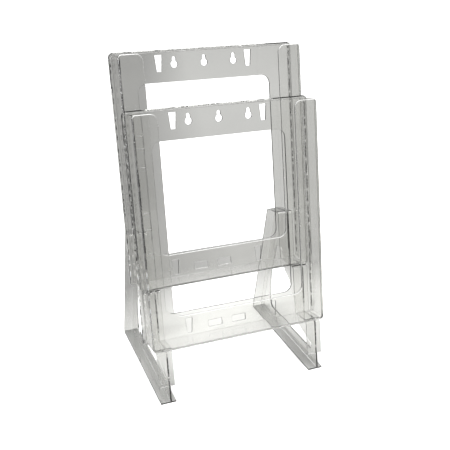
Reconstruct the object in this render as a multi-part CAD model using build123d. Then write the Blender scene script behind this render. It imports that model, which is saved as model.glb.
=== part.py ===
from build123d import *
import os
from math import cos, radians, sin

# Two-tier counter brochure rack in clear plastic sheet.
# Two identical open pockets lean back in the steps of two identical feet.
# Millimetres. +Z is up, +X is to the user's right, and the pockets face -Y.
# The origin is on the table, at the centre of the rack's footprint.

# ---- pocket ----
TILT = 10.0                 # lean of the pockets from the vertical, degrees
SHEET = 2.5                 # thickness of the pocket's sheets
BACK_WIDTH = 240.0
BACK_HEIGHT = 289.0
POCKET_DEPTH = 36.0         # from the back panel's rear face to the front frame's front face
TRAY_WIDTH = 231.4          # outside of the walls: the back panel stands proud on both sides
TRAY_HEIGHT = 285.8
BACK_TOP_RADIUS = 6.0
BACK_FOOT_RADIUS = 3.0
HEEL_CHAMFER = 1.4          # lower rear edge of the back panel, clear of the feet's bends
WALL_BEND_RADIUS = 5.0      # outside of the bends between the walls and the floor
FRAME_TOP_RADIUS = 4.0

# ---- openings in the back panel and the front frame ----
WINDOW_WIDTH = 174.4
WINDOW_BOTTOM = 34.0
WINDOW_TOP = 250.0
WINDOW_RADIUS = 11.0
MOUTH_WIDTH = 172.0
LIP_HEIGHT = 41.7
MOUTH_RADIUS = 11.0
FLANGE_TIP_RADIUS = 9.0

# ---- fastening holes in the back panel ----
KEYHOLE_PITCH = 39.0
KEYHOLE_HEAD_RADIUS = 4.5
KEYHOLE_HEAD_HEIGHT = 271.0
KEYHOLE_SLOT_WIDTH = 5.0
KEYHOLE_TOP = 280.5
DOVETAIL_OFFSET = 58.5
DOVETAIL_LOW_HEIGHT = 5.0
DOVETAIL_HIGH_HEIGHT = 263.0
DOVETAIL_LENGTH = 20.0
DOVETAIL_TOP_WIDTH = 9.5
DOVETAIL_BOTTOM_WIDTH = 6.0
SLOT_LEFT_EDGES = (-32.5, 0.0)
SLOT_WIDTH = 18.5
SLOT_BOTTOM = 7.7
SLOT_HEIGHT = 9.0

# ---- feet ----
FOOT_LENGTH = 186.0
FOOT_OFFSET = 101.8         # centre of a foot's strips from the middle of the rack
STRIP_WIDTH = 20.0
STRIP = 2.0                 # thickness of the feet's strips
WEB = 2.0                   # thickness of the feet's webs
WEB_OFFSET = 3.3            # the web stands this far towards +X from the strips' centre
STEP_FRONT_HEIGHT = 22.0    # the step strip's front end, above the table
BEND_OUTSIDE = 5.0          # bend radius on the convex corners of the step strip
BEND_INSIDE = 1.0           # bend radius on its concave corners
FRONT_SETBACK = 3.7         # the feet's front face, behind the front pocket's front face
SEAT_GAP = 0.15             # between a pocket and the step that it stands in

# ---- places of the pockets ----
FRONT_SEAT_FROM_TOE = 43.9  # front pocket's rear lower edge, behind the feet's front end
FRONT_SEAT_HEIGHT = 62.7    # and above the table
STEP_RISE = 66.6            # from one pocket to the next, along the lean
STEP_BACK = 39.5            # and square to the lean

# ---- rear strut of the feet ----
STRUT_TOP_RUN = 44.6        # how far the strut leans forward from its foot to its top
STRUT_TOP_HEIGHT = 179.5

# ---- hole in the web ----
HOLE_CORNERS = [            # distance behind the feet's front end, height, corner radius
    (19.0, 19.5, 3.2),
    (150.5, 19.5, 12.0),
    (147.5, 78.0, 20.0),
    (135.5, 124.0, 6.0),
    (121.0, 127.0, 6.0),
    (105.5, 98.0, 8.0),
    (88.0, 88.5, 8.0),
    (55.0, 36.0, 8.0),
    (19.0, 27.0, 3.2),
]

lean = radians(TILT)
toe = -FOOT_LENGTH / 2
heel = FOOT_LENGTH / 2


def point_on_lean(origin, up, forward):
    """A (y, z) point, measured from origin along the lean and square to it."""
    y = origin[0] + up * sin(lean) - forward * cos(lean)
    z = origin[1] + up * cos(lean) + forward * sin(lean)
    return (y, z)


front_seat = (toe + FRONT_SEAT_FROM_TOE, FRONT_SEAT_HEIGHT)
rear_seat = point_on_lean(front_seat, STEP_RISE, -STEP_BACK)


# ---------------------------------------------------------------- pocket pieces
# A pocket is drawn upright: x across, y up, rear face in the XZ plane, and then leans back.

def standing_rectangle(width, bottom, top):
    return Pos(0, (bottom + top) / 2) * Rectangle(width, top - bottom)


def sheet_from(sketch, setback, thickness):
    """Extrude an upright sketch forwards, starting setback in front of the rear face."""
    return Pos(0, -setback, 0) * extrude(Plane.XZ * sketch, thickness)


def keyhole():
    head = Pos(0, KEYHOLE_HEAD_HEIGHT) * Circle(KEYHOLE_HEAD_RADIUS)
    slot_end = KEYHOLE_TOP - KEYHOLE_SLOT_WIDTH / 2
    shank = standing_rectangle(KEYHOLE_SLOT_WIDTH, KEYHOLE_HEAD_HEIGHT, slot_end)
    tip = Pos(0, slot_end) * Circle(KEYHOLE_SLOT_WIDTH / 2)
    return head + shank + tip


def dovetail(bottom):
    top = bottom + DOVETAIL_LENGTH
    return make_face(Polyline(
        (-DOVETAIL_BOTTOM_WIDTH / 2, bottom),
        (DOVETAIL_BOTTOM_WIDTH / 2, bottom),
        (DOVETAIL_TOP_WIDTH / 2, top),
        (-DOVETAIL_TOP_WIDTH / 2, top),
        close=True,
    ))


def back_panel():
    outline = standing_rectangle(BACK_WIDTH, 0, BACK_HEIGHT)
    rows = outline.vertices().group_by(Axis.Y)
    outline = fillet(rows[-1], BACK_TOP_RADIUS)
    outline = fillet(outline.vertices().group_by(Axis.Y)[0], BACK_FOOT_RADIUS)
    window = standing_rectangle(WINDOW_WIDTH, WINDOW_BOTTOM, WINDOW_TOP)
    outline -= fillet(window.vertices(), WINDOW_RADIUS)
    for step in (-1, 0, 1):
        outline -= Pos(step * KEYHOLE_PITCH, 0) * keyhole()
    for side in (-1, 1):
        for bottom in (DOVETAIL_LOW_HEIGHT, DOVETAIL_HIGH_HEIGHT):
            outline -= Pos(side * DOVETAIL_OFFSET, 0) * dovetail(bottom)
    for left in SLOT_LEFT_EDGES:
        slot = standing_rectangle(SLOT_WIDTH, SLOT_BOTTOM, SLOT_BOTTOM + SLOT_HEIGHT)
        outline -= Pos(left + SLOT_WIDTH / 2, 0) * slot
    panel = sheet_from(outline, 0, SHEET)
    rear_edges = panel.edges().filter_by(Axis.X).group_by(Axis.Z)[0]
    return chamfer(rear_edges.sort_by(Axis.Y)[-1], HEEL_CHAMFER)


def wall_channel():
    """Both side walls and the floor: one strip, bent twice."""
    outside = standing_rectangle(TRAY_WIDTH, 0, TRAY_HEIGHT)
    outside = fillet(outside.vertices().group_by(Axis.Y)[0], WALL_BEND_RADIUS)
    inside = standing_rectangle(TRAY_WIDTH - 2 * SHEET, SHEET, TRAY_HEIGHT)
    inside = fillet(inside.vertices().group_by(Axis.Y)[0], WALL_BEND_RADIUS - SHEET)
    return sheet_from(outside - inside, SHEET, POCKET_DEPTH - 2 * SHEET)


def front_frame():
    """Lip and side flanges: one sheet, cut out in a U."""
    outline = standing_rectangle(TRAY_WIDTH, 0, TRAY_HEIGHT)
    outline = fillet(outline.vertices().group_by(Axis.Y)[0], WALL_BEND_RADIUS)
    mouth = standing_rectangle(MOUTH_WIDTH, LIP_HEIGHT, TRAY_HEIGHT)
    outline -= fillet(mouth.vertices().group_by(Axis.Y)[0], MOUTH_RADIUS)
    tips = outline.vertices().group_by(Axis.Y)[-1].sort_by(Axis.X)
    outline = fillet([tips[1], tips[2]], FLANGE_TIP_RADIUS)
    tips = outline.vertices().group_by(Axis.Y)[-1].sort_by(Axis.X)
    outline = fillet([tips[0], tips[-1]], FRAME_TOP_RADIUS)
    return sheet_from(outline, POCKET_DEPTH - SHEET, SHEET)


# ---------------------------------------------------------------- foot pieces
# A foot is drawn from the side: x is the rack's Y, y is its Z.

def round_corner(face, place, radius):
    corner = face.vertices().sort_by_distance(Vector(*place, 0))[0]
    return fillet(corner, radius)


def foot_outline():
    """Side view of the whole foot, down to the table."""
    front = POCKET_DEPTH - FRONT_SETBACK
    tread_1 = point_on_lean(front_seat, -SEAT_GAP, front)
    toe_line = tread_1[0] - tread_1[1] * sin(lean) / cos(lean)
    corner_1 = point_on_lean(front_seat, -SEAT_GAP, -SEAT_GAP)
    tread_2 = point_on_lean(rear_seat, -SEAT_GAP, STEP_BACK - SEAT_GAP)
    corner_2 = point_on_lean(rear_seat, -SEAT_GAP, -SEAT_GAP)
    top = point_on_lean(rear_seat, STEP_RISE, -SEAT_GAP)
    strut_top = (heel - STRUT_TOP_RUN, STRUT_TOP_HEIGHT)
    corners = [
        (toe_line, 0), tread_1, corner_1, tread_2, corner_2, top, strut_top, (heel, 0),
    ]
    outline = make_face(Polyline(*corners, close=True))
    convex = [tread_1, tread_2, top, strut_top]
    concave = [corner_1, corner_2]
    for places, radius in ((convex, BEND_OUTSIDE), (concave, BEND_INSIDE)):
        for place in places:
            outline = round_corner(outline, place, radius)
    return outline


def area_above(height, from_y=2 * toe):
    reach = 2 * FOOT_LENGTH
    return Pos(from_y + reach / 2, height + reach / 2) * Rectangle(reach, reach)


def step_strip_sketch(outline):
    """One bent strip: up the front, over both steps, over the top and down the strut."""
    strip = outline - offset(outline, -STRIP, kind=Kind.INTERSECTION)
    behind_front = area_above(STRIP, toe + FOOT_LENGTH / 2)
    return strip & (area_above(STEP_FRONT_HEIGHT) + behind_front)


def web_sketch(outline, strip):
    hole = make_face(Polyline(*[(toe + y, z) for y, z, radius in HOLE_CORNERS], close=True))
    for y, z, radius in HOLE_CORNERS:
        hole = round_corner(hole, (toe + y, z), radius)
    return (outline & area_above(STRIP)) - strip - hole


def from_side(sketch, centre_x, width):
    return Pos(centre_x, 0, 0) * extrude(Plane.YZ * sketch, width / 2, both=True)


outline = foot_outline()
strip = step_strip_sketch(outline)
web = web_sketch(outline, strip)

# ---------------------------------------------------------------- assembly
pieces = {}
for name, seat in (("front", front_seat), ("rear", rear_seat)):
    place = Pos(0, seat[0], seat[1]) * Rot(-TILT, 0, 0)
    pieces[f"{name}_pocket_back_panel"] = place * back_panel()
    pieces[f"{name}_pocket_wall_channel"] = place * wall_channel()
    pieces[f"{name}_pocket_front_frame"] = place * front_frame()
for name, side in (("left", -1), ("right", 1)):
    centre = side * FOOT_OFFSET
    base = Pos(centre, 0, STRIP / 2) * Box(STRIP_WIDTH, FOOT_LENGTH, STRIP)
    pieces[f"{name}_foot_base_strip"] = base
    pieces[f"{name}_foot_step_strip"] = from_side(strip, centre, STRIP_WIDTH)
    pieces[f"{name}_foot_web"] = from_side(web, centre + WEB_OFFSET, WEB)

os.makedirs("parts", exist_ok=True)
for name, piece in pieces.items():
    export_step(piece, f"parts/{name}.step")
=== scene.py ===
import math
import random

import bmesh
import bpy
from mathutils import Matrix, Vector


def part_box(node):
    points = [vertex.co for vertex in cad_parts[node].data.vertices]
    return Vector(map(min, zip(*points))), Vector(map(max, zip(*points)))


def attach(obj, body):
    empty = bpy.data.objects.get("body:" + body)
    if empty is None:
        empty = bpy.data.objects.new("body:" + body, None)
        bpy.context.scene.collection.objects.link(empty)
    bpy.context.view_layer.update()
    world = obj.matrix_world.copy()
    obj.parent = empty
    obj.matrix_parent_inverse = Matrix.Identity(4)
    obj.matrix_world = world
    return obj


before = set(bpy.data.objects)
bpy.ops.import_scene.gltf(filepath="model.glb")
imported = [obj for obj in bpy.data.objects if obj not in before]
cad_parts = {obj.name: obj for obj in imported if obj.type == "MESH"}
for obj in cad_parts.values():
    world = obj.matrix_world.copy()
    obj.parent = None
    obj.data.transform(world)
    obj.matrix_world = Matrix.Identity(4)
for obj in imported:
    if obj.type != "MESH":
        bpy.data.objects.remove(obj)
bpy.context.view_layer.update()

MM = 0.001
LEAN = math.radians(10)

# ---------------------------------------------------------------- node helpers


def new_material(name):
    material = bpy.data.materials.new(name)
    material.use_nodes = True
    material.node_tree.nodes.clear()
    return material, material.node_tree


def add(tree, kind, **values):
    """A new node, with each value set on the input or the property of that name."""
    node = tree.nodes.new(kind)
    for key, value in values.items():
        if key in node.inputs:
            node.inputs[key].default_value = value
        else:
            setattr(node, key, value)
    return node


def noise(tree, scale, detail=2.0, roughness=0.5):
    place = add(tree, "ShaderNodeTexCoord")
    texture = add(tree, "ShaderNodeTexNoise", Scale=scale, Detail=detail, Roughness=roughness)
    tree.links.new(place.outputs["Object"], texture.inputs["Vector"])
    return texture


def remap(tree, source, low, high, from_low=0.3, from_high=0.7):
    """source carried from from_low..from_high to low..high, and held at the ends."""
    node = add(tree, "ShaderNodeMapRange")
    node.inputs["From Min"].default_value = from_low
    node.inputs["From Max"].default_value = from_high
    node.inputs["To Min"].default_value = low
    node.inputs["To Max"].default_value = high
    tree.links.new(source, node.inputs["Value"])
    return node.outputs["Result"]


def mixed(tree, factor, low, high):
    """From the fixed colour low to the fixed colour high, by factor."""
    node = add(tree, "ShaderNodeMix", data_type="RGBA")
    node.inputs[6].default_value = (*low, 1.0)
    node.inputs[7].default_value = (*high, 1.0)
    tree.links.new(factor, node.inputs[0])
    return node.outputs[2]


def combine(tree, operation, one, two):
    node = add(tree, "ShaderNodeMath", operation=operation)
    tree.links.new(one, node.inputs[0])
    tree.links.new(two, node.inputs[1])
    return node.outputs[0]


def blend(tree, factor, one, colour):
    """From the linked colour one to the fixed colour, by factor."""
    node = add(tree, "ShaderNodeMix", data_type="RGBA")
    tree.links.new(factor, node.inputs[0])
    tree.links.new(one, node.inputs[6])
    node.inputs[7].default_value = (*colour, 1.0)
    return node.outputs[2]


def finish_material(tree, shader):
    output = add(tree, "ShaderNodeOutputMaterial")
    tree.links.new(shader.outputs["BSDF"], output.inputs["Surface"])


# ---------------------------------------------------------------- materials

LEVEL_SPAN = (0.3, 0.8)
PAINTED_LIGHT_FROST = 0.8
PAINTED_LIGHT_FADE = 10 * MM
BOTTOM_BAR = 46 * MM
WHITE = (1.0, 1.0, 1.0)


def clear_plastic(name, tint, clearest, smooth, rough, wave, frost=(0.0, 0.0), painted_light_below=0.0):
    """Clear sheet. frost is the frosted share of faces that stand and of faces that lie level; more
    frost on level faces than on standing ones paints a highlight along top rims. Below the height
    given for painted light nearly all is frosted, and white: painted light."""
    material, tree = new_material(name)
    shader = add(tree, "ShaderNodeBsdfPrincipled")
    shader.inputs["Transmission Weight"].default_value = 1.0
    clouds = noise(tree, 45.0, 3.0)
    tone = mixed(tree, clouds.outputs["Fac"], tint, clearest)
    if frost[1] > 0.0:
        facing = add(tree, "ShaderNodeNewGeometry")
        split = add(tree, "ShaderNodeSeparateXYZ")
        tree.links.new(facing.outputs["Normal"], split.inputs["Vector"])
        level = add(tree, "ShaderNodeMath", operation="ABSOLUTE")
        tree.links.new(split.outputs["Z"], level.inputs[0])
        share = remap(tree, level.outputs[0], *frost, *LEVEL_SPAN)
        # Below that height the rims turn frosted and white: painted light.
        if painted_light_below > 0.0:
            place = add(tree, "ShaderNodeTexCoord")
            height = add(tree, "ShaderNodeSeparateXYZ")
            tree.links.new(place.outputs["Object"], height.inputs["Vector"])
            low = remap(tree, height.outputs["Z"], PAINTED_LIGHT_FROST, 0.0, painted_light_below, painted_light_below + PAINTED_LIGHT_FADE)
            share = combine(tree, "MAXIMUM", share, low)
            tone = blend(tree, low, tone, WHITE)
        clear = add(tree, "ShaderNodeMath", operation="SUBTRACT")
        clear.inputs[0].default_value = 1.0
        tree.links.new(share, clear.inputs[1])
        tree.links.new(clear.outputs[0], shader.inputs["Transmission Weight"])
    tree.links.new(tone, shader.inputs["Base Color"])
    scuffs = noise(tree, 260.0, 4.0)
    tree.links.new(remap(tree, scuffs.outputs["Fac"], smooth, rough), shader.inputs["Roughness"])
    waves = noise(tree, 22.0, 2.0)
    bump = add(tree, "ShaderNodeBump", Strength=wave, Distance=MM)
    tree.links.new(waves.outputs["Fac"], bump.inputs["Height"])
    tree.links.new(bump.outputs["Normal"], shader.inputs["Normal"])
    finish_material(tree, shader)
    return material


def low_of(node):
    """The height of a CAD piece's lowest point."""
    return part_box(node)[0][2]


POCKET = clear_plastic("pocket_plastic", (0.93, 0.93, 0.92), (0.98, 0.98, 0.97), 0.0, 0.04, 0.06)
FOOT = clear_plastic("foot_plastic", (0.90, 0.90, 0.89), (0.96, 0.96, 0.95), 0.0, 0.04, 0.05)
# Front frame rims: level rims are frosted far more than standing ones, a painted highlight along the
# top edges.
EDGE = clear_plastic("rounded_rim", (0.93, 0.93, 0.92), (1.0, 1.0, 1.0), 0.08, 0.3, 0.1, (0.06, 0.5))
# Back panel rims: dark grey and heavily frosted, a painted shade that draws their dark outline; under
# the top of the bottom bar they turn white, painted light.
BACK_EDGE_PAINTED_SHADE_AND_LIGHT = {}
for pocket in ("front", "rear"):
    BACK_EDGE_PAINTED_SHADE_AND_LIGHT[pocket] = clear_plastic(
        f"{pocket}_back_edge_painted_shade_and_light", (0.20, 0.20, 0.20), (0.32, 0.32, 0.31), 0.15, 0.4, 0.0, (0.85, 0.85),
        painted_light_below=low_of(f"{pocket}_pocket_back_panel") + BOTTOM_BAR,
    )


def bond_material(name, dark, light, through):
    """Blotchy bond between two sheets. through is how much of the light it lets pass."""
    material, tree = new_material(name)
    shader = add(tree, "ShaderNodeBsdfPrincipled")
    shader.inputs["IOR"].default_value = 1.45
    shader.inputs["Transmission Weight"].default_value = through
    patches = noise(tree, 240.0, 3.0)
    mask = remap(tree, patches.outputs["Fac"], 0.0, 1.0, 0.48, 0.66)
    tree.links.new(mixed(tree, mask, dark, light), shader.inputs["Base Color"])
    tree.links.new(remap(tree, patches.outputs["Fac"], 0.15, 0.5), shader.inputs["Roughness"])
    finish_material(tree, shader)
    return material


DARK_BOND = bond_material("dark_bond", (0.035, 0.035, 0.035), (0.30, 0.30, 0.29), 0.3)
PALE_BOND = bond_material("pale_bond", (0.85, 0.85, 0.84), (1.0, 1.0, 1.0), 0.1)
# A pale grey line under the back panels' top edges: a painted highlight, in the blotchy bond look.
PAINTED_HIGHLIGHT_LINE = bond_material("painted_highlight_line_plastic", (0.42, 0.42, 0.41), (0.60, 0.60, 0.59), 0.2)

# ---------------------------------------------------------------- CAD sheets

OVERLAP = 0.03 * MM
FLOOR_CLEARANCE = 0.04 * MM
BONDED_RIM = 0.2 * MM
STRIP_RIM = 0.4 * MM
FRAME_RIM = 0.8 * MM
BACK_RIM = 1.2 * MM


def finish_sheet(node, material, rim, rim_width, grow):
    """Sheet in one material with rounded rims in another. A bonded sheet grows a hair into its
    neighbours, so the joint stays clear. The base strips shrink a hair, to stay off the floor."""
    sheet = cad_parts[node]
    sheet.data.materials.clear()
    sheet.data.materials.append(material)
    sheet.data.materials.append(rim)
    for face in sheet.data.polygons:
        face.use_smooth = False
    weld = sheet.modifiers.new("weld", "WELD")
    weld.merge_threshold = 0.01 * MM
    flat = sheet.modifiers.new("flat_faces", "DECIMATE")
    flat.decimate_type = "DISSOLVE"
    flat.angle_limit = math.radians(1)
    if grow:
        reach = sheet.modifiers.new("bond_overlap", "DISPLACE")
        reach.mid_level = 0.0
        reach.strength = grow
    bevel = sheet.modifiers.new("rounded_rim", "BEVEL")
    bevel.width = rim_width
    bevel.material = 1
    bevel.segments = 3
    bevel.limit_method = "ANGLE"
    bevel.angle_limit = math.radians(40)


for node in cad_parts:
    if "_foot_" in node:
        part = node.split("_foot_")[1]
        grow = {"web": OVERLAP, "step_strip": 0.0, "base_strip": -FLOOR_CLEARANCE}[part]
        finish_sheet(node, FOOT, FOOT, BONDED_RIM if part == "web" else STRIP_RIM, grow)
    else:
        pocket, part = node.split("_pocket_")
        rim, rim_width, grow = {
            "back_panel": (BACK_EDGE_PAINTED_SHADE_AND_LIGHT[pocket], BACK_RIM, 0.0),
            "wall_channel": (POCKET, BONDED_RIM, OVERLAP),
            "front_frame": (EDGE, FRAME_RIM, 0.0),
        }[part]
        finish_sheet(node, POCKET, rim, rim_width, grow)

# ---------------------------------------------------------------- bond lines

SHEET = 2.5 * MM
BACK_HEIGHT = 289.0 * MM
BACK_HALF = 120.0 * MM
POCKET_DEPTH = 36.0 * MM
TRAY_HALF = 115.7 * MM
TRAY_HEIGHT = 285.8 * MM
FLANGE = 8.0 * MM
BAR_HEIGHTS = (262 * MM, 247.3 * MM, 226 * MM, 173 * MM, 153 * MM, 124 * MM)
BAR_WIDTH = 0.8 * MM
LAP_LINE_SEED = 91
RING_SIDES = 8
SMEAR_STEP = 0.7 * MM
BOND_THICKNESS = 0.24 * MM
BUBBLE_THICKNESS = 0.3 * MM
SHORTEST_LINE = 20 * MM
UP = Vector((0, math.sin(LEAN), math.cos(LEAN)))
FORWARD = Vector((0, -math.cos(LEAN), math.sin(LEAN)))
ACROSS = Vector((1, 0, 0))


def on_pocket(pocket, across, up, forward):
    """A point of a pocket, measured from the lower edge of its back panel's rear face."""
    low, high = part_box(f"{pocket}_back_panel")
    seat_height = high[2] - BACK_HEIGHT * math.cos(LEAN) - SHEET * math.sin(LEAN)
    seat = Vector((0, low[1] + SHEET * math.cos(LEAN), seat_height))
    return seat + across * ACROSS + up * UP + forward * FORWARD


def tube(mesh, rings):
    """Skin a row of rings, with a cap on each end."""
    loops = [[mesh.verts.new(point) for point in ring] for ring in rings]
    sides = len(loops[0])
    for one, two in zip(loops, loops[1:]):
        for i in range(sides):
            j = (i + 1) % sides
            mesh.faces.new((one[i], one[j], two[j], two[i]))
    mesh.faces.new(list(reversed(loops[0])))
    mesh.faces.new(loops[-1])


def smear(mesh, rng, start, along, across, length, width, thickness):
    """One flat, uneven smear of bond between two sheets."""
    normal = along.cross(across)
    count = max(4, round(length / SMEAR_STEP))
    drift = rng.uniform(-0.15, 0.15) * width
    rings = []
    for i in range(count + 1):
        t = i / count
        swell = math.sin(math.pi * min(max(t, 0.04), 0.96)) ** 0.35
        half = 0.5 * width * swell * rng.uniform(0.55, 1.0)
        centre = start + along * (t * length) + across * (drift + rng.uniform(-0.1, 0.1) * width)
        ring = []
        for k in range(RING_SIDES):
            turn = 2 * math.pi * k / RING_SIDES
            offset = across * (half * math.cos(turn)) + normal * (0.5 * thickness * math.sin(turn))
            ring.append(centre + offset)
        rings.append(ring)
    tube(mesh, rings)


def piece_from(name, mesh, material, body):
    """A smooth piece that rides on a body."""
    bmesh.ops.recalc_face_normals(mesh, faces=mesh.faces)
    data = bpy.data.meshes.new(name)
    mesh.to_mesh(data)
    mesh.free()
    for face in data.polygons:
        face.use_smooth = True
    data.materials.append(material)
    piece = bpy.data.objects.new(name, data)
    bpy.context.scene.collection.objects.link(piece)
    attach(piece, body)


def bond_line(name, body, start, end, across, width, dashes, gaps, material, seed):
    """Dashes of bond along a joint. dashes and gaps are (shortest, longest), in metres."""
    rng = random.Random(seed)
    mesh = bmesh.new()
    along = (end - start).normalized()
    total = (end - start).length
    place = rng.uniform(*gaps)
    while True:
        length = min(rng.uniform(*dashes), total - place)
        if length < MM:
            break
        begin = start + along * place
        smear(mesh, rng, begin, along, across, length, width, BOND_THICKNESS)
        for _ in range(rng.randint(0, 3)):
            spot = begin + along * rng.uniform(0, length) + across * rng.uniform(-0.4, 0.4) * width
            bubble = rng.uniform(0.8, 2.2) * MM
            smear(mesh, rng, spot, along, across, bubble, 0.35 * width, BUBBLE_THICKNESS)
        place += length + rng.uniform(*gaps)
    piece_from(name, mesh, material, body)


def pocket_bonds(pocket, seed, dark_from):
    """Bond up the back corners and the front left corner, pale below the height dark_from."""
    middle = TRAY_HALF - 0.5 * SHEET
    margin = 0.5 * (TRAY_HALF + BACK_HALF) + 0.4 * MM
    rear = SHEET + 0.08 * MM
    front = POCKET_DEPTH - SHEET
    low = 6.0 * MM
    high = TRAY_HEIGHT - 1.5 * MM
    short = (1.5 * MM, 9 * MM)
    long = (4 * MM, 22 * MM)
    endless = (30 * MM, 90 * MM)
    gaps = (1.2 * MM, 8 * MM)
    fine_gaps = (0.5 * MM, 2 * MM)
    small_gaps = (0.5 * MM, 3 * MM)
    wide_gaps = (4 * MM, 12 * MM)
    lines = (
        ("left_rear_bond", -margin, rear, 1.4 * MM, dark_from, high, short, gaps, DARK_BOND),
        ("right_rear_bond", TRAY_HALF + MM, rear, 2.2 * MM, low, high, long, small_gaps, DARK_BOND),
        ("left_front_bond", -middle, front, 2.2 * MM, dark_from, high, endless, fine_gaps, DARK_BOND),
        ("left_rear_bond_low", -margin, rear, 1.4 * MM, low, dark_from, short, gaps, PALE_BOND),
        ("left_front_bond_low", -middle, front, 1.8 * MM, low, dark_from, short, wide_gaps, PALE_BOND),
    )
    for i, (name, across, forward, width, start_up, end_up, dash, gap, material) in enumerate(lines):
        if end_up - start_up < SHORTEST_LINE:
            continue
        start = on_pocket(pocket, across, start_up, forward)
        end = on_pocket(pocket, across, end_up, forward)
        bond_line(
            f"{pocket}_{name}", pocket, start, end, ACROSS,
            width, dash, gap, material, seed + i,
        )


def painted_highlight_line(pocket):
    """The pale half-round line just under the back panel's top edge, bent down its left margin: a
    painted highlight.
    """
    radius = 0.35 * MM
    top = BACK_HEIGHT - 2.9 * MM
    side = BACK_HALF - 2.7 * MM
    bend = 5.0 * MM
    path = [(-side, TRAY_HEIGHT - 14 * MM)]
    for k in range(9):
        turn = math.radians(180 - 90 * k / 8)
        path.append((-side + bend + bend * math.cos(turn), top - bend + bend * math.sin(turn)))
    path.append((side - bend, top))
    mesh = bmesh.new()
    rings = []
    for i, (across, up) in enumerate(path):
        before = path[max(i - 1, 0)]
        after = path[min(i + 1, len(path) - 1)]
        along = Vector((after[0] - before[0], after[1] - before[1])).normalized()
        out = Vector((-along.y, along.x))
        ring = []
        for k in range(RING_SIDES):
            turn = 2 * math.pi * k / RING_SIDES
            shift = radius * math.cos(turn)
            ring.append(on_pocket(
                pocket, across + shift * out.x, up + shift * out.y,
                SHEET + 0.5 * radius * math.sin(turn),
            ))
        rings.append(ring)
    tube(mesh, rings)
    piece_from(f"{pocket}_painted_highlight_line", mesh, PAINTED_HIGHLIGHT_LINE, pocket)


def slab(mesh, pocket, left, right, low, high, thickness):
    """A thin patch with round corners on the rear face of the front frame."""
    corner = min(0.25 * (high - low), 0.25 * (right - left), MM)
    middles = ((right - corner, high - corner), (left + corner, high - corner),
               (left + corner, low + corner), (right - corner, low + corner))
    rear = POCKET_DEPTH - SHEET - thickness
    rings = ([], [])
    for quarter, (across, up) in enumerate(middles):
        for k in range(5):
            turn = math.radians(90 * quarter + 90 * k / 4)
            a = across + corner * math.cos(turn)
            u = up + corner * math.sin(turn)
            rings[0].append(on_pocket(pocket, a, u, rear))
            rings[1].append(on_pocket(pocket, a, u, rear + 0.8 * thickness))
    tube(mesh, rings)


def flange_marks(pocket):
    """The short pale bars down the left flange, and the dark line along them."""
    left = -TRAY_HALF + 1.4 * SHEET
    right = left + FLANGE
    rear = POCKET_DEPTH - SHEET
    bars = bmesh.new()
    for low in BAR_HEIGHTS:
        slab(bars, pocket, left + 0.6 * MM, right - 0.4 * MM, low, low + BAR_WIDTH, 0.3 * MM)
    piece_from(f"{pocket}_bond_bars", bars, PALE_BOND, pocket)
    start = on_pocket(pocket, right, 60 * MM, rear)
    end = on_pocket(pocket, right, TRAY_HEIGHT - 2 * MM, rear)
    bond_line(
        f"{pocket}_lap_line", pocket, start, end, ACROSS,
        0.55 * MM, (20 * MM, 60 * MM), (0.5 * MM, 3 * MM), DARK_BOND, LAP_LINE_SEED,
    )


def foot_bonds(side, seed):
    """Bond where the web of a foot meets its bent strip, up the front and up the second riser.
    Heights and depths are measured as on the front pocket, which stands in the lower step."""
    low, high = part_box(f"{side}_foot_web")
    centre = 0.5 * (low[0] + high[0])
    runs = (
        ("front_bond", 30.3 * MM, -45.0 * MM, -9.0 * MM, (2 * MM, 8 * MM), (0.5 * MM, 3 * MM)),
        ("riser_bond", -2.15 * MM, 8.0 * MM, 56.0 * MM, (2 * MM, 9 * MM), (0.8 * MM, 6 * MM)),
    )
    for i, (name, forward, start_up, end_up, dashes, gaps) in enumerate(runs):
        start = on_pocket("front_pocket", centre, start_up, forward)
        end = on_pocket("front_pocket", centre, end_up, forward)
        bond_line(
            f"{side}_foot_{name}", "feet", start, end, ACROSS,
            1.8 * MM, dashes, gaps, DARK_BOND, seed + i,
        )


pocket_bonds("front_pocket", seed=11, dark_from=105 * MM)
pocket_bonds("rear_pocket", seed=21, dark_from=40 * MM)
painted_highlight_line("front_pocket")
painted_highlight_line("rear_pocket")
flange_marks("front_pocket")
foot_bonds("left", seed=41)
foot_bonds("right", seed=51)

# ---------------------------------------------------------------- stage

# The camera sees the floor plain white. Seen through plastic or mirrored in it the floor is grey,
# painted with light and shade: a lighter pool round the feet and a darker backdrop beyond. Both are
# shaded towards the left, along a line turned by SHADE_TURN from the rack's width.
SHADE_TURN = math.radians(16)
POOL_CENTRE = (0.05, -0.10, 0.0)
POOL_EDGE = (0.19, 0.35)
NEAR_FLOOR = 0.50
NEAR_SHADE = 0.84
NEAR_SPAN = (-0.09, -0.02)
MIDDLE_FLOOR = 0.22
FAR_FLOOR = 0.35
BACKDROP_SPAN = (0.28, 1.8)
LEFT_SHADE = 0.6
SHADE_SPAN = (-0.12, 0.06)
SEEN_FLOOR = (0.95, 0.95, 0.95)


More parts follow.
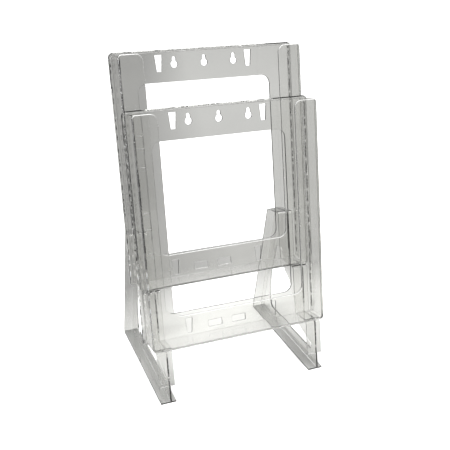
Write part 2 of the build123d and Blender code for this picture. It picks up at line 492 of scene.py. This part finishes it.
def graded_floor(tree):
    """The painted pool of light and the painted darker backdrop, as one number from black to white."""
    place = add(tree, "ShaderNodeTexCoord")
    centre = add(tree, "ShaderNodeVectorMath", operation="DISTANCE")
    centre.inputs[1].default_value = POOL_CENTRE
    tree.links.new(place.outputs["Object"], centre.inputs[0])
    distance = centre.outputs["Value"]
    turned = add(tree, "ShaderNodeVectorMath", operation="DOT_PRODUCT")
    turned.inputs[1].default_value = (math.cos(SHADE_TURN), -math.sin(SHADE_TURN), 0.0)
    tree.links.new(place.outputs["Object"], turned.inputs[0])
    across = turned.outputs["Value"]
    backdrop = remap(tree, distance, MIDDLE_FLOOR, FAR_FLOOR, *BACKDROP_SPAN)
    shade = remap(tree, across, LEFT_SHADE, 1.0, *SHADE_SPAN)
    near = remap(tree, across, NEAR_SHADE * NEAR_FLOOR, NEAR_FLOOR, *NEAR_SPAN)
    pool = add(tree, "ShaderNodeMix", data_type="FLOAT")
    tree.links.new(remap(tree, distance, 0.0, 1.0, *POOL_EDGE), pool.inputs[0])
    tree.links.new(near, pool.inputs[2])
    tree.links.new(combine(tree, "MULTIPLY", backdrop, shade), pool.inputs[3])
    return pool.outputs[0]


def build_floor():
    bpy.ops.mesh.primitive_plane_add(size=12.0, location=(0, 0, 0))
    floor = bpy.context.object
    floor.name = "floor"
    material, tree = new_material("floor_paint")
    path = add(tree, "ShaderNodeLightPath")
    graded = add(tree, "ShaderNodeVectorMath", operation="SCALE")
    graded.inputs[0].default_value = (1.0, 1.0, 0.98)
    tree.links.new(graded_floor(tree), graded.inputs["Scale"])
    colour = blend(tree, path.outputs["Is Camera Ray"], graded.outputs[0], SEEN_FLOOR)
    shader = add(tree, "ShaderNodeBsdfDiffuse", Roughness=0.0)
    tree.links.new(colour, shader.inputs["Color"])
    finish_material(tree, shader)
    floor.data.materials.append(material)


build_floor()

# ---------------------------------------------------------------- light and camera

HORIZON = 0.35
OVERHEAD = 1.9
SKY_SPAN = (0.0, 0.8)
CAMERA_PLACE = (-0.30504, -0.79787, 0.54795)
CAMERA_DIP = math.radians(22.89)
CAMERA_TURN = math.radians(-21.52)
CAMERA_LENS = 57.28
BOUNCES = 96


def build_world():
    """White for the camera, and otherwise brighter from the horizon upwards."""
    world = bpy.data.worlds.new("studio")
    bpy.context.scene.world = world
    world.use_nodes = True
    tree = world.node_tree
    tree.nodes.clear()
    place = add(tree, "ShaderNodeTexCoord")
    split = add(tree, "ShaderNodeSeparateXYZ")
    tree.links.new(place.outputs["Generated"], split.inputs["Vector"])
    strength = remap(tree, split.outputs["Z"], HORIZON, OVERHEAD, *SKY_SPAN)
    back = add(tree, "ShaderNodeBackground")
    back.inputs["Color"].default_value = (1.0, 1.0, 0.995, 1.0)
    path = add(tree, "ShaderNodeLightPath")
    seen = add(tree, "ShaderNodeMix", data_type="FLOAT")
    tree.links.new(path.outputs["Is Camera Ray"], seen.inputs[0])
    tree.links.new(strength, seen.inputs[2])
    seen.inputs[3].default_value = 1.0
    tree.links.new(seen.outputs[0], back.inputs["Strength"])
    output = add(tree, "ShaderNodeOutputWorld")
    tree.links.new(back.outputs["Background"], output.inputs["Surface"])


def softbox(name, place, aim, width, height, watts):
    """A soft light that is hidden from rays that have come through plastic."""
    data = bpy.data.lights.new(name, "AREA")
    data.shape = "RECTANGLE"
    data.size = width
    data.size_y = height
    data.energy = watts
    light = bpy.data.objects.new(name, data)
    bpy.context.scene.collection.objects.link(light)
    light.location = place
    light.rotation_euler = (Vector(aim) - Vector(place)).to_track_quat("-Z", "Y").to_euler()
    light.visible_transmission = False


def build_camera():
    data = bpy.data.cameras.new("camera")
    data.lens = CAMERA_LENS
    data.sensor_width = 36.0
    data.clip_end = 50.0
    camera = bpy.data.objects.new("camera", data)
    bpy.context.scene.collection.objects.link(camera)
    camera.location = CAMERA_PLACE
    camera.rotation_euler = (math.radians(90) - CAMERA_DIP, 0, CAMERA_TURN)
    bpy.context.scene.camera = camera


build_world()
softbox("overhead_softbox", (-0.2, 0.1, 1.5), aim=(0.0, 0.0, 0.0), width=1.0, height=0.8, watts=20.0)
softbox("left_softbox", (-1.3, -0.1, 0.75), aim=(0.0, 0.0, 0.3), width=0.5, height=1.3, watts=26.0)
build_camera()
scene = bpy.context.scene
scene.view_settings.view_transform = "Standard"
scene.cycles.max_bounces = BOUNCES
scene.cycles.transmission_bounces = BOUNCES
scene.cycles.transparent_max_bounces = BOUNCES
